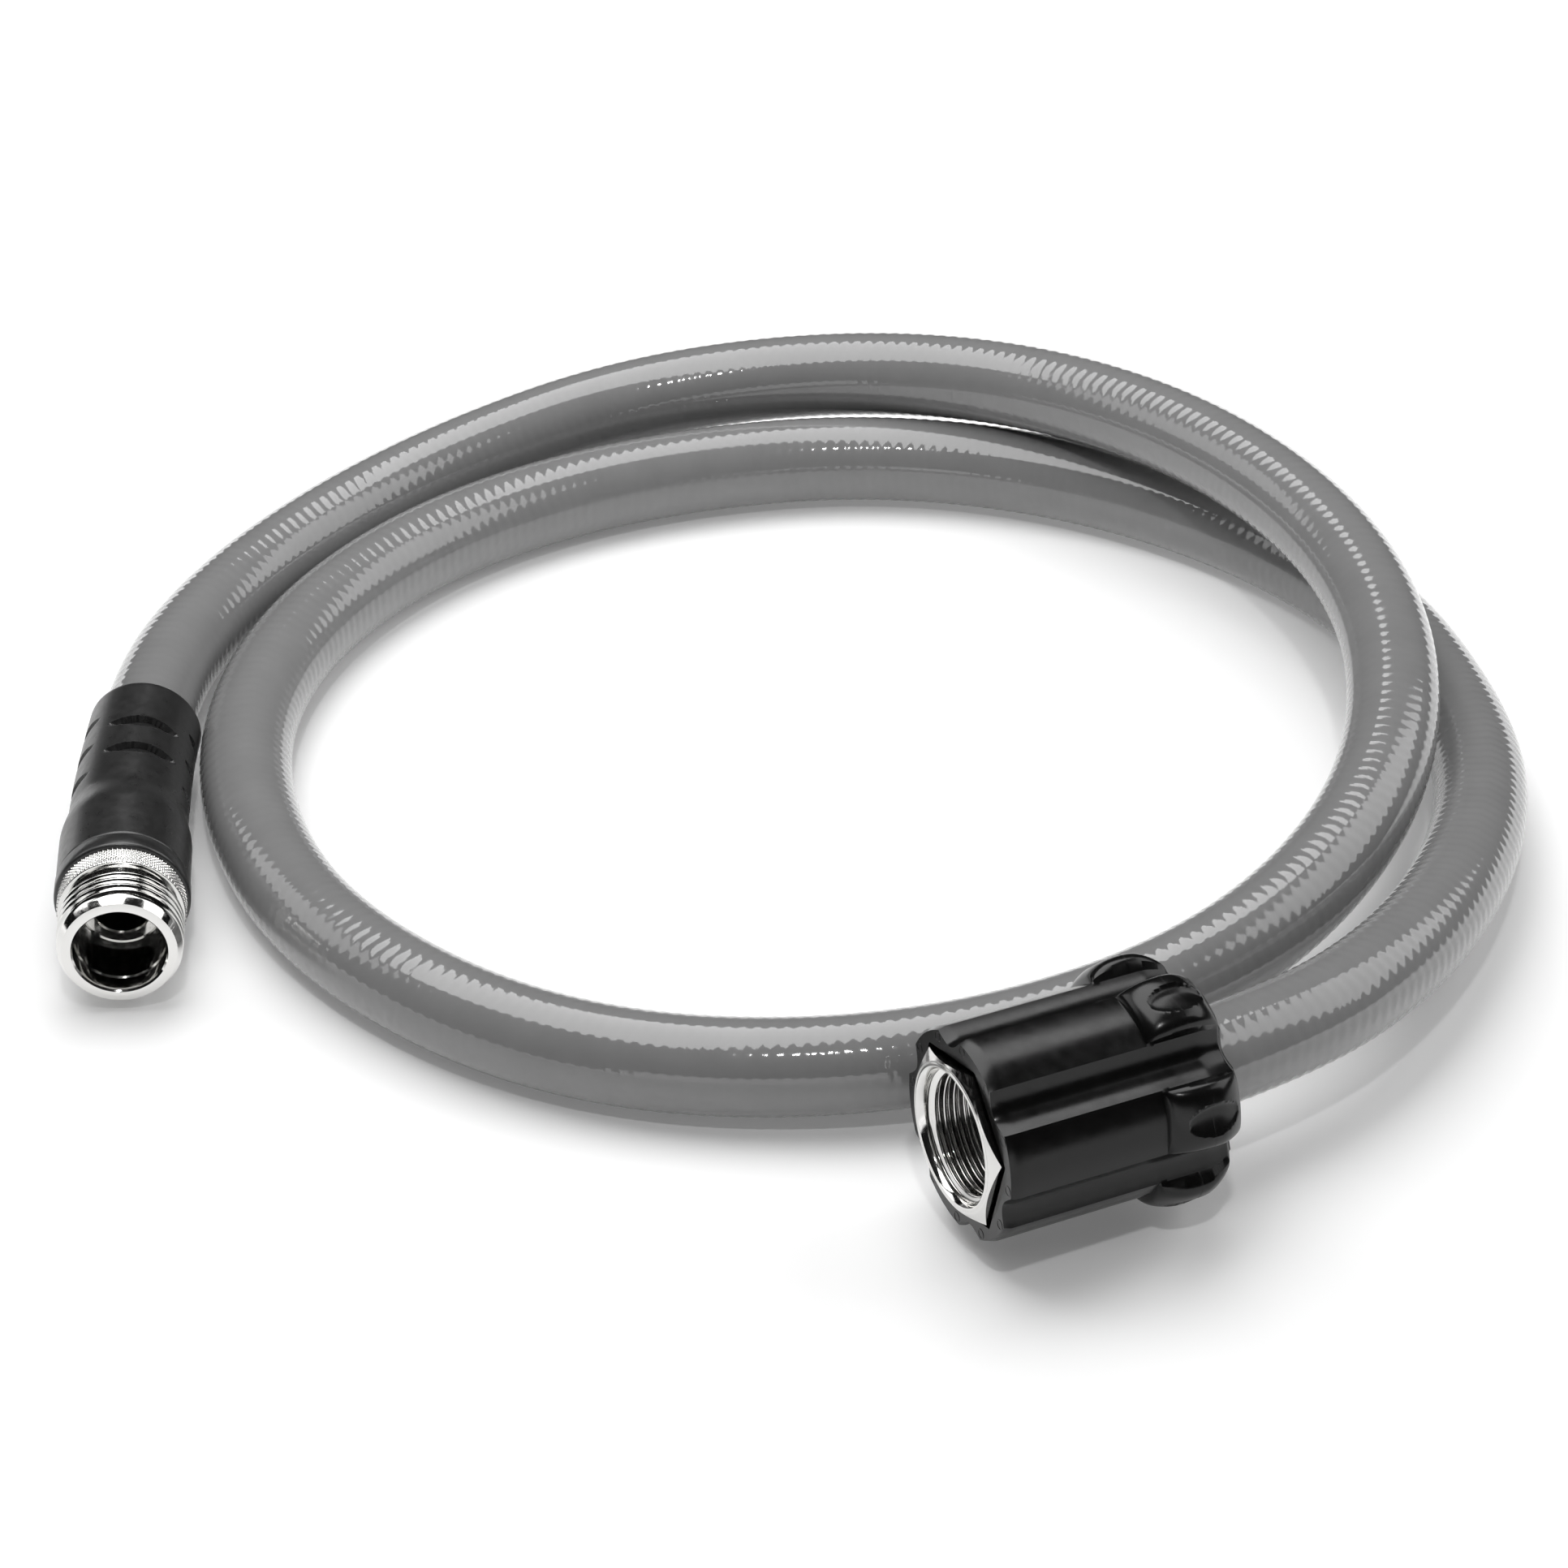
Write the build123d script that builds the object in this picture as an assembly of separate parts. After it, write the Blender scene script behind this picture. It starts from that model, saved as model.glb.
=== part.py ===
from build123d import *
import os
from math import cos, pi, radians, sin, tan

# A short leader hose that lies in a loop on the floor. One end is a threaded male
# coupling in a ribbed sleeve, the other a swivel nut in a lobed hand grip.
# Millimetres, +Z up. The origin is on the floor, under the middle of the two couplings.
# "depth" is always the distance behind a coupling's mouth, along that coupling's axis.

# --- Driving dimensions: hose -------------------------------------------------
HOSE_DIAMETER = 20.8
HOSE_BORE = 15.9                    # 5/8 inch garden hose
LINER_WALL = 0.6
BRAID_WALL = 0.3
HOSE_FIT = 0.05                     # gap between the hose and what surrounds it

# --- Driving dimensions: garden hose thread -----------------------------------
THREAD_PITCH = 25.4 / 11.5          # 11.5 turns to the inch
MALE_CREST = 13.45                  # radius of the outer thread's crests
MALE_ROOT = 12.2
FEMALE_CREST = 12.4                 # radius of the inner thread's crests
FEMALE_ROOT = 13.6
CREST_FLAT = 0.4
RIDGE_BASE = 1.9

# --- Where the two mouths are, and which way they point ------------------------
MALE_MOUTH = (-106.0, 1.9, 15.5)
MALE_HEADING = -84.9                # degrees from +X, about +Z
MALE_RISE = 1.5                     # degrees above level
FEMALE_MOUTH = (66.5, -74.6, 26.4)
FEMALE_HEADING = 206.0
FEMALE_RISE = 1.0

# --- Driving dimensions: male coupling ----------------------------------------
MOUTH_BORE = 9.8
MOUTH_BORE_DEPTH = 17.0
MOUTH_BORE_END = 8.8                # the bore narrows to this radius at its shoulder
WATERWAY = 6.3                      # radius of the hole through both metal tails
LIP_RADIUS = 13.45
LIP_START = 1.9                     # the mouth tapers out to its lip over this depth
LIP_END = 2.9
MALE_FIRST_RIDGE = 4.3
MALE_RIDGES = 4
KNURL_RADIUS = 13.85
KNURL_START = 14.3
KNURL_END = 19.4
EDGE_BREAK = 0.4

# --- Driving dimensions: barbed tails, ferrules --------------------------------
STEM_RADIUS = 9.5
MALE_SHOULDER = 25.0                # depth at which the hose butts on the male stem
FEMALE_SHOULDER = 26.0
BARB_ROOT = 7.4
BARB_PITCH = 5.0
BARB_FLAT = 1.0
BARBS = 4
BARB_LEAD = 0.6                     # plain length before the first barb, in barb pitches
BARB_SLOPE = 0.8                    # length of a barb and its slope, in barb pitches
FERRULE_WALL = 0.9
FERRULE_LIP = 1.0
FERRULE_LENGTH = 22.0

# --- Driving dimensions: male sleeve -------------------------------------------
RING_RADIUS = 14.6
RING_END = 24.0
COLLAR_RADIUS = 14.4
COLLAR_END = 41.0
CONE_END = 49.0
NECK_RADIUS = 13.1
TAIL_RADIUS = 12.7
SLEEVE_END = 89.5
RECESS_SWEEP = 76.0
RECESS_LENGTH = 2.5
RECESS_DEPTH = 0.8
RECESS_TURN = -13.0                 # the four columns are turned this far off the vertical
TOP_RECESSES = (62.0, 73.4)
SIDE_RECESSES = (56.3, 67.7, 79.1)

# --- Driving dimensions: swivel nut, tailpiece and washer ----------------------
NUT_ACROSS_FLATS = 31.75            # 1 1/4 inch
NUT_CORNER_ANGLE = 15.3             # first corner, counted from the right-hand side
NUT_CHAMFER = 1.6
NUT_FACE_INSET = 0.3                # the flat face is this much narrower than the flats
NUT_MOUTH_BEVEL = 14.95
NUT_BEVEL_DEPTH = 1.3
NUT_HEX_END = 16.0
NUT_END = 20.0
NUT_COLLAR_RADIUS = 15.6
NUT_FLANGE_START = 17.0
FEMALE_FIRST_RIDGE = 2.9
FEMALE_RIDGES = 4
SEAT_START = 10.5                   # behind the thread, a plain seat for washer and flange
SEAT_RADIUS = 12.8
SEAT_RELIEF = 0.6                   # length of the groove between the thread and the seat
SEAT_SLOPE = 0.2
WASHER_FACE = 11.5
WASHER_RADIUS = 12.6
WASHER_HOLE = 7.5
FLANGE_FACE = 13.7
FLANGE_RADIUS = 12.3
RUNNING_CLEARANCE = 0.08

# --- Driving dimensions: hand grip ---------------------------------------------
GRIP_START = 2.0
GRIP_END = 54.0
GRIP_FACE_RADIUS = 21.3
GRIP_FACE_EDGE = 0.6
PANEL_RADIUS = 21.8
LOBE_RADIUS = 25.6
LOBE_START = 36.5
LOBE_MIDDLE = 45.5
LOBE_END = 51.5
REAR_RADIUS = 20.6
FLUTE_FLOOR = 19.3
FLUTE_HALF_WIDTH = 12.0             # degrees either side of a flute's middle
FLUTE_ANGLE = 46.5                  # middle of the first flute
POCKET_GAP = 0.8                    # gap round the nut at the grip's front
POCKET_GAP_END = 5.0
CAVITY_RADIUS = 13.0
REAR_LIP_START = 49.0
REAR_LIP_RADIUS = 11.6


def mouth_plane(mouth, heading, rise):
    """A plane on a coupling's mouth: +Z points out, +X to the right of one looking in."""
    out = Vector(cos(radians(rise)), 0, sin(radians(rise)))
    out = out.rotate(Axis.Z, heading)
    return Plane(origin=mouth, x_dir=Vector(0, 0, 1).cross(out), z_dir=out)


MALE = mouth_plane(MALE_MOUTH, MALE_HEADING, MALE_RISE)
FEMALE = mouth_plane(FEMALE_MOUTH, FEMALE_HEADING, FEMALE_RISE)


def behind(mouth, depth):
    """The point on a coupling's axis that lies this deep behind its mouth."""
    return mouth.origin - mouth.z_dir * depth


# The hose's route, from the male stem's shoulder to the female one. The first and last
# runs lie on the couplings' axes. The points between go clockwise, seen from above:
# up over the hose's own second turn, down to the floor, and round again underneath.
FIRST_RUN = 67.0
LAST_RUN = 47.5
ROUTE = [
    behind(MALE, MALE_SHOULDER),
    behind(MALE, MALE_SHOULDER + FIRST_RUN),
    Vector(-100.5, 153, 10.6),
    Vector(-59.5, 205, 13),
    Vector(1.5, 239.5, 19.5),
    Vector(75.5, 233.5, 28.5),
    Vector(136, 188, 35.5),
    Vector(172, 122, 34),
    Vector(168.5, 50, 26.5),
    Vector(129, -6, 17.5),
    Vector(62.5, -34, 12),
    Vector(-10, -30, 10.4),
    Vector(-66.5, 13, 10.4),
    Vector(-90.2, 74, 10.4),
    Vector(-84, 132, 10.4),
    Vector(-51.5, 181, 10.4),
    Vector(0, 211.5, 10.4),
    Vector(62.5, 222, 10.4),
    Vector(124.5, 202, 10.4),
    Vector(173, 156, 10.4),
    Vector(191, 94, 11),
    Vector(187.5, 47, 15),
    Vector(167, -4, 21),
    behind(FEMALE, FEMALE_SHOULDER + LAST_RUN),
    behind(FEMALE, FEMALE_SHOULDER),
]


def turn_at(corner):
    """Degrees by which the route turns at one of its inner points."""
    before = ROUTE[corner] - ROUTE[corner - 1]
    after = ROUTE[corner + 1] - ROUTE[corner]
    return before.get_angle(after)


def bend_radius(corner):
    """The largest arc that the two runs beside a point have room for."""
    before = (ROUTE[corner] - ROUTE[corner - 1]).length
    after = (ROUTE[corner + 1] - ROUTE[corner]).length
    return 0.45 * min(before, after) / tan(radians(turn_at(corner)) / 2)


def turned(corners):
    """A solid of revolution from corners given as (radius, depth)."""
    outline = [Vector(radius, 0, -depth) for radius, depth in corners]
    return revolve(make_face(Polyline(*outline, close=True)), Axis.Z, 360)


def turned_sector(corners, start, sweep):
    """Part of a solid of revolution: from the angle start, through sweep degrees."""
    outline = [Vector(radius, 0, -depth) for radius, depth in corners]
    sector = revolve(make_face(Polyline(*outline, close=True)), Axis.Z, sweep)
    return Rot(0, 0, start) * sector


def hexagon(across_flats, start, end):
    """A hexagonal bar between two depths, with a corner at the nut's corner angle."""
    outline = RegularPolygon(across_flats / 2, 6, major_radius=False, rotation=NUT_CORNER_ANGLE)
    return Pos(0, 0, -end) * extrude(outline, end - start)


def thread_corners(crest, root, first, ridges):
    """Corners of a row of flat-topped thread ridges, from the mouth inwards."""
    corners = []
    for ridge in range(ridges):
        middle = first + ridge * THREAD_PITCH
        corners.append((root, middle - RIDGE_BASE / 2))
        corners.append((crest, middle - CREST_FLAT / 2))
        corners.append((crest, middle + CREST_FLAT / 2))
        corners.append((root, middle + RIDGE_BASE / 2))
    return corners


def barb_corners(shoulder):
    """Corners of the hose tail's barbs, whose crests just fill the hose's bore."""
    corners = [(BARB_ROOT, shoulder)]
    for barb in range(BARBS):
        edge = shoulder + (barb + BARB_LEAD) * BARB_PITCH
        corners.append((BARB_ROOT, edge))
        corners.append((HOSE_BORE / 2, edge))
        corners.append((HOSE_BORE / 2, edge + BARB_FLAT))
        corners.append((BARB_ROOT, edge + BARB_SLOPE * BARB_PITCH))
    return corners


def tail_end(shoulder):
    """Depth of a barbed tail's free end."""
    return shoulder + (BARBS + BARB_LEAD) * BARB_PITCH


def male_coupling():
    corners = [(MOUTH_BORE, 0), (MALE_ROOT, 0), (LIP_RADIUS, LIP_START), (LIP_RADIUS, LIP_END)]
    corners += thread_corners(MALE_CREST, MALE_ROOT, MALE_FIRST_RIDGE, MALE_RIDGES)
    corners += [(MALE_ROOT, KNURL_START), (KNURL_RADIUS - EDGE_BREAK, KNURL_START)]
    corners += [(KNURL_RADIUS, KNURL_START + EDGE_BREAK), (KNURL_RADIUS, KNURL_END - EDGE_BREAK)]
    corners += [(KNURL_RADIUS - EDGE_BREAK, KNURL_END), (STEM_RADIUS, KNURL_END)]
    corners += [(STEM_RADIUS, MALE_SHOULDER)]
    corners += barb_corners(MALE_SHOULDER)
    corners += [(BARB_ROOT, tail_end(MALE_SHOULDER)), (WATERWAY, tail_end(MALE_SHOULDER))]
    corners += [(WATERWAY, MOUTH_BORE_DEPTH), (MOUTH_BORE_END, MOUTH_BORE_DEPTH)]
    return MALE.location * turned(corners)


def ferrule(mouth, shoulder):
    """A crimped cup round the hose's cut end, with a lip that hooks on the stem."""
    hose_radius = HOSE_DIAMETER / 2
    outer = hose_radius + FERRULE_WALL
    corners = [(STEM_RADIUS, shoulder - FERRULE_LIP), (outer, shoulder - FERRULE_LIP)]
    corners += [(outer, shoulder + FERRULE_LENGTH), (hose_radius, shoulder + FERRULE_LENGTH)]
    corners += [(hose_radius, shoulder), (STEM_RADIUS, shoulder)]
    return mouth.location * turned(corners)


def sleeve_ring():
    corners = [(STEM_RADIUS, KNURL_END), (RING_RADIUS - EDGE_BREAK, KNURL_END)]
    corners += [(RING_RADIUS, KNURL_END + EDGE_BREAK), (RING_RADIUS, RING_END)]
    corners += [(STEM_RADIUS, RING_END)]
    return MALE.location * turned(corners)


def bend_start():
    """Depth at which the male end's hose, and the sleeve on it, start to bend."""
    return MALE_SHOULDER + FIRST_RUN - bend_radius(1) * tan(radians(turn_at(1)) / 2)


def bend_plane():
    """A plane where the bend starts: +X runs down the hose, +Y is the inside of the bend."""
    along = MALE.z_dir * -1
    normal = along.cross(ROUTE[2] - ROUTE[1])
    return Plane(origin=behind(MALE, bend_start()), x_dir=along, z_dir=normal)


def sleeve_plane(depth):
    """The plane square to the sleeve at a depth, before the bend's start or past it."""
    bend = bend_plane()
    radius = bend_radius(1)
    turn = max(0, depth - bend_start()) / radius
    point = behind(MALE, min(depth, bend_start()))
    point += bend.x_dir * radius * sin(turn) + bend.y_dir * radius * (1 - cos(turn))
    out = (bend.x_dir * cos(turn) + bend.y_dir * sin(turn)) * -1
    return Plane(origin=point, x_dir=Vector(0, 0, 1).cross(out), z_dir=out)


def sleeve_tail():
    """The sleeve's bent end, which follows the hose inside it."""
    bend = bend_plane()
    sweep_angle = (SLEEVE_END - bend_start()) / bend_radius(1) * 180 / pi
    arc = bend * JernArc(start=(0, 0), tangent=(1, 0), radius=bend_radius(1), arc_size=sweep_angle)
    section = Circle(TAIL_RADIUS) - Circle(HOSE_DIAMETER / 2 + HOSE_FIT)
    return sweep(sections=sleeve_plane(bend_start()) * section, path=arc)


def sleeve_recess(depth, column):
    """A shallow crescent across the sleeve: a ramp that ends in a sharp rear edge."""
    deep = TAIL_RADIUS - RECESS_DEPTH
    corners = [(TAIL_RADIUS + 1, -RECESS_LENGTH), (deep, 0), (TAIL_RADIUS + 1, 0)]
    ramp = turned_sector(corners, column * 90 + RECESS_TURN - RECESS_SWEEP / 2, RECESS_SWEEP)
    return sleeve_plane(depth).location * ramp


def male_sleeve():
    hose_radius = HOSE_DIAMETER / 2 + HOSE_FIT
    pocket = HOSE_DIAMETER / 2 + FERRULE_WALL
    pocket_end = MALE_SHOULDER + FERRULE_LENGTH
    corners = [(STEM_RADIUS, RING_END), (COLLAR_RADIUS, RING_END), (COLLAR_RADIUS, COLLAR_END)]
    corners += [(NECK_RADIUS, CONE_END), (TAIL_RADIUS, bend_start()), (hose_radius, bend_start())]
    corners += [(hose_radius, pocket_end), (pocket, pocket_end), (pocket, RING_END)]
    sleeve = MALE.location * turned(corners) + sleeve_tail()
    for column in range(4):
        depths = TOP_RECESSES if column % 2 else SIDE_RECESSES
        for depth in depths:
            sleeve -= sleeve_recess(depth, column)
    return sleeve


def swivel_nut():
    """The hexagonal swivel nut, with a round collar behind and a flange that holds the stem."""
    corner = NUT_ACROSS_FLATS / 2 / cos(radians(30))
    bar = hexagon(NUT_ACROSS_FLATS, 0, NUT_HEX_END)
    face = NUT_ACROSS_FLATS / 2 - NUT_FACE_INSET
    bar &= turned([(0, 0), (face, 0), (corner, NUT_CHAMFER), (corner, NUT_HEX_END), (0, NUT_HEX_END)])
    collar = [(0, NUT_HEX_END), (NUT_COLLAR_RADIUS, NUT_HEX_END), (NUT_COLLAR_RADIUS, NUT_END), (0, NUT_END)]
    bar += turned(collar)
    stem_hole = STEM_RADIUS + RUNNING_CLEARANCE
    hole = [(0, 0), (NUT_MOUTH_BEVEL, 0), (FEMALE_ROOT, NUT_BEVEL_DEPTH)]
    hole += thread_corners(FEMALE_CREST, FEMALE_ROOT, FEMALE_FIRST_RIDGE, FEMALE_RIDGES)
    relief = SEAT_START + SEAT_RELIEF
    hole += [(FEMALE_ROOT, relief), (SEAT_RADIUS, relief + SEAT_SLOPE)]
    hole += [(SEAT_RADIUS, NUT_FLANGE_START), (stem_hole, NUT_FLANGE_START)]
    hole += [(stem_hole, NUT_END), (0, NUT_END)]
    return FEMALE.location * (bar - turned(hole))


def inlet_tailpiece():
    """The flanged stem that the nut turns on, and the barbed tail inside the hose."""
    flange_back = NUT_FLANGE_START - RUNNING_CLEARANCE
    corners = [(WATERWAY, FLANGE_FACE), (FLANGE_RADIUS, FLANGE_FACE), (FLANGE_RADIUS, flange_back)]
    corners += [(STEM_RADIUS, flange_back), (STEM_RADIUS, FEMALE_SHOULDER)]
    corners += barb_corners(FEMALE_SHOULDER)
    corners += [(BARB_ROOT, tail_end(FEMALE_SHOULDER)), (WATERWAY, tail_end(FEMALE_SHOULDER))]
    return FEMALE.location * turned(corners)


def inlet_washer():
    corners = [(WASHER_HOLE, WASHER_FACE), (WASHER_RADIUS, WASHER_FACE)]
    corners += [(WASHER_RADIUS, FLANGE_FACE), (WASHER_HOLE, FLANGE_FACE)]
    return FEMALE.location * turned(corners)


def lobe_corners():
    """The grip's outer outline: level panels, a swelling near the rear, a narrowed rim."""
    corners = [(GRIP_FACE_RADIUS, GRIP_START), (PANEL_RADIUS, GRIP_START + GRIP_FACE_EDGE)]
    corners += [(PANEL_RADIUS, LOBE_START)]
    rise = LOBE_RADIUS - PANEL_RADIUS
    steps = 8
    for step in range(1, steps + 1):
        part = step / steps
        swell = 0.5 - 0.5 * cos(pi * part)
        corners.append((PANEL_RADIUS + rise * swell, LOBE_START + (LOBE_MIDDLE - LOBE_START) * part))
    fall = LOBE_RADIUS - REAR_RADIUS
    for step in range(1, steps + 1):
        part = step / steps
        corners.append((LOBE_RADIUS - fall * part ** 2, LOBE_MIDDLE + (LOBE_END - LOBE_MIDDLE) * part))
    corners.append((REAR_RADIUS, GRIP_END))
    return corners


def swivel_grip():
    """The moulded hand grip: six panels that end in lobes, with six flutes between them."""
    grip = turned([(0, GRIP_START)] + lobe_corners() + [(0, GRIP_END)])
    beyond = LOBE_RADIUS + 2
    floor = [(FLUTE_FLOOR, GRIP_START - 1), (beyond, GRIP_START - 1)]
    floor += [(beyond, GRIP_END + 1), (FLUTE_FLOOR, GRIP_END + 1)]
    for flute in range(6):
        start = FLUTE_ANGLE + flute * 60 - FLUTE_HALF_WIDTH
        grip -= turned_sector(floor, start, 2 * FLUTE_HALF_WIDTH)
    grip -= hexagon(NUT_ACROSS_FLATS + 2 * POCKET_GAP, GRIP_START - 1, POCKET_GAP_END)
    grip -= hexagon(NUT_ACROSS_FLATS, POCKET_GAP_END - 1, NUT_HEX_END)
    hole = [(0, NUT_HEX_END - 1), (NUT_COLLAR_RADIUS, NUT_HEX_END - 1), (NUT_COLLAR_RADIUS, NUT_END)]
    hole += [(CAVITY_RADIUS, NUT_END), (CAVITY_RADIUS, REAR_LIP_START)]
    hole += [(REAR_LIP_RADIUS, REAR_LIP_START), (REAR_LIP_RADIUS, GRIP_END + 1), (0, GRIP_END + 1)]
    return FEMALE.location * (grip - turned(hole))


def hose_path():
    """Straight runs between the route's points, joined by the largest arcs that fit."""
    radii = [bend_radius(corner) for corner in range(1, len(ROUTE) - 1)]
    return FilletPolyline(*ROUTE, radius=radii)


def hose_layer(outer, inner):
    """One layer of the hose's wall, swept along the whole route."""
    section = Circle(outer) - Circle(inner)
    start = behind(MALE, MALE_SHOULDER)
    square = Plane(origin=start, x_dir=MALE.x_dir, z_dir=MALE.z_dir * -1)
    return sweep(sections=square * section, path=hose_path())


LINER_OUTER = HOSE_BORE / 2 + LINER_WALL
BRAID_OUTER = LINER_OUTER + BRAID_WALL

parts = {
    "male_coupling": male_coupling(),
    "male_sleeve_ring": sleeve_ring(),
    "male_sleeve": male_sleeve(),
    "male_ferrule": ferrule(MALE, MALE_SHOULDER),
    "swivel_nut": swivel_nut(),
    "swivel_grip": swivel_grip(),
    "inlet_tailpiece": inlet_tailpiece(),
    "inlet_washer": inlet_washer(),
    "female_ferrule": ferrule(FEMALE, FEMALE_SHOULDER),
    "hose_liner": hose_layer(LINER_OUTER, HOSE_BORE / 2),
    "hose_braid": hose_layer(BRAID_OUTER, LINER_OUTER),
    "hose_cover": hose_layer(HOSE_DIAMETER / 2, BRAID_OUTER),
}

os.makedirs("parts", exist_ok=True)
for node, shape in parts.items():
    export_step(shape, "parts/" + node + ".step")

print("bend radii, mm:", [round(bend_radius(corner)) for corner in range(1, len(ROUTE) - 1)])
print("hose length, mm:", round(hose_path().length, 1))
cover_section = pi * ((HOSE_DIAMETER / 2) ** 2 - BRAID_OUTER ** 2)
print("cover volume over section times length:", parts["hose_cover"].volume / cover_section / hose_path().length)
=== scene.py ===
import bmesh
import bpy
from math import cos, degrees, pi, radians, sin, sqrt
from mathutils import Matrix, Vector


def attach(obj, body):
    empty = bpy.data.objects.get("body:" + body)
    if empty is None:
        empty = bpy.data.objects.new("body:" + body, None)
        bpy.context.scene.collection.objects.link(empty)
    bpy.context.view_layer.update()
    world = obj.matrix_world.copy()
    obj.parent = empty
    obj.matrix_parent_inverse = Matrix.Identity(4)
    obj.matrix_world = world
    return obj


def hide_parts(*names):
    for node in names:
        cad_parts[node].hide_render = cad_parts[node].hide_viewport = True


# The looks of a short leader hose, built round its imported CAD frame. Metres, +Z up, with
# the CAD's origin. "depth" is the distance behind a coupling's mouth, along its axis. The
# couplings' own sizes are in millimetres, and so are TINY and every lathe outline.

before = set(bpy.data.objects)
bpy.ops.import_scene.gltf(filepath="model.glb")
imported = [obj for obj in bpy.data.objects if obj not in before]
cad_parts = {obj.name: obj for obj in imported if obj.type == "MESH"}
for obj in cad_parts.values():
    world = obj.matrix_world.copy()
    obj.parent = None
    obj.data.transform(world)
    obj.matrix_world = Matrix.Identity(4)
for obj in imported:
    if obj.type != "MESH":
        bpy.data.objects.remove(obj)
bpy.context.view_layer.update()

MM = 0.001
TINY = 0.01

# --- The couplings' places and the hose's route, as in the CAD -----------------
MALE_MOUTH = Vector((-0.1060, 0.0019, 0.0155))
MALE_HEADING = radians(-84.9)
MALE_RISE = radians(1.5)
FEMALE_MOUTH = Vector((0.0665, -0.0746, 0.0264))
FEMALE_HEADING = radians(206.0)
FEMALE_RISE = radians(1.0)
MALE_SHOULDER = 0.025
FEMALE_SHOULDER = 0.026
FIRST_RUN = 0.067
LAST_RUN = 0.0475
HOSE_RADIUS = 0.0104
HOSE_BORE = 0.00795


def axis_frame(mouth, heading, rise):
    """A coupling's axes: X to the right of one looking into its mouth, Y up, Z out of it."""
    out = Vector((cos(rise) * cos(heading), cos(rise) * sin(heading), sin(rise)))
    right = Vector((0, 0, 1)).cross(out).normalized()
    axes = Matrix((right, out.cross(right), out)).transposed().to_4x4()
    return Matrix.Translation(mouth) @ axes


MALE = axis_frame(MALE_MOUTH, MALE_HEADING, MALE_RISE)
FEMALE = axis_frame(FEMALE_MOUTH, FEMALE_HEADING, FEMALE_RISE)


def behind(place, depth):
    """The point on a coupling's axis that lies this deep behind its mouth."""
    return place @ Vector((0, 0, -depth))


ROUTE = [
    behind(MALE, MALE_SHOULDER),
    behind(MALE, MALE_SHOULDER + FIRST_RUN),
    (-0.1005, 0.153, 0.0106),
    (-0.0595, 0.205, 0.013),
    (0.0015, 0.2395, 0.0195),
    (0.0755, 0.2335, 0.0285),
    (0.136, 0.188, 0.0355),
    (0.172, 0.122, 0.034),
    (0.1685, 0.05, 0.0265),
    (0.129, -0.006, 0.0175),
    (0.0625, -0.034, 0.012),
    (-0.01, -0.03, 0.0104),
    (-0.0665, 0.013, 0.0104),
    (-0.0902, 0.074, 0.0104),
    (-0.084, 0.132, 0.0104),
    (-0.0515, 0.181, 0.0104),
    (0.0, 0.2115, 0.0104),
    (0.0625, 0.222, 0.0104),
    (0.1245, 0.202, 0.0104),
    (0.173, 0.156, 0.0104),
    (0.191, 0.094, 0.011),
    (0.1875, 0.047, 0.015),
    (0.167, -0.004, 0.021),
    behind(FEMALE, FEMALE_SHOULDER + LAST_RUN),
    behind(FEMALE, FEMALE_SHOULDER),
]


# --- Node materials --------------------------------------------------------------

def new_material(name, colour, roughness, metallic=0.0, coat=0.0, coat_roughness=0.03):
    """A material with its constants on the shader's own sockets, and its node tree."""
    material = bpy.data.materials.new(name)
    material.use_nodes = True
    shader = material.node_tree.nodes["Principled BSDF"]
    shader.inputs["Base Color"].default_value = (*colour, 1)
    shader.inputs["Roughness"].default_value = roughness
    shader.inputs["Metallic"].default_value = metallic
    shader.inputs["Coat Weight"].default_value = coat
    shader.inputs["Coat Roughness"].default_value = coat_roughness
    return material, material.node_tree, shader


def add(tree, kind, **values):
    """A node with some of its inputs and settings filled in."""
    node = tree.nodes.new(kind)
    for name, value in values.items():
        key = name.replace("_", " ").capitalize()
        if key in node.inputs:
            node.inputs[key].default_value = value
        else:
            setattr(node, name, value)
    return node


def noise(tree, scale, detail=3.0, roughness=0.5):
    """Noise in the object's own coordinates, in cycles per metre."""
    place = tree.nodes.new("ShaderNodeTexCoord")
    texture = add(tree, "ShaderNodeTexNoise", scale=scale, detail=detail, roughness=roughness)
    tree.links.new(place.outputs["Object"], texture.inputs["Vector"])
    return texture.outputs["Fac"]


def ramp(tree, source, low, high, low_value, high_value):
    """A source mapped from low..high onto two values."""
    node = tree.nodes.new("ShaderNodeMapRange")
    node.inputs["From Min"].default_value = low
    node.inputs["From Max"].default_value = high
    node.inputs["To Min"].default_value = low_value
    node.inputs["To Max"].default_value = high_value
    tree.links.new(source, node.inputs["Value"])
    return node.outputs["Result"]


def shade(tree, shader, source, dark, light):
    """Mixes the base colour between two greys: inputs 6 and 7 are the mix's two colours."""
    mix = tree.nodes.new("ShaderNodeMix")
    mix.data_type = "RGBA"
    mix.inputs[6].default_value = (dark, dark, dark, 1)
    mix.inputs[7].default_value = (light, light, light, 1)
    tree.links.new(source, mix.inputs[0])
    tree.links.new(mix.outputs[2], shader.inputs["Base Color"])


def bump(tree, shader, source, strength, distance):
    """Fine grain in the shading."""
    node = tree.nodes.new("ShaderNodeBump")
    node.inputs["Strength"].default_value = strength
    node.inputs["Distance"].default_value = distance
    tree.links.new(source, node.inputs["Height"])
    tree.links.new(node.outputs["Normal"], shader.inputs["Normal"])


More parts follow.
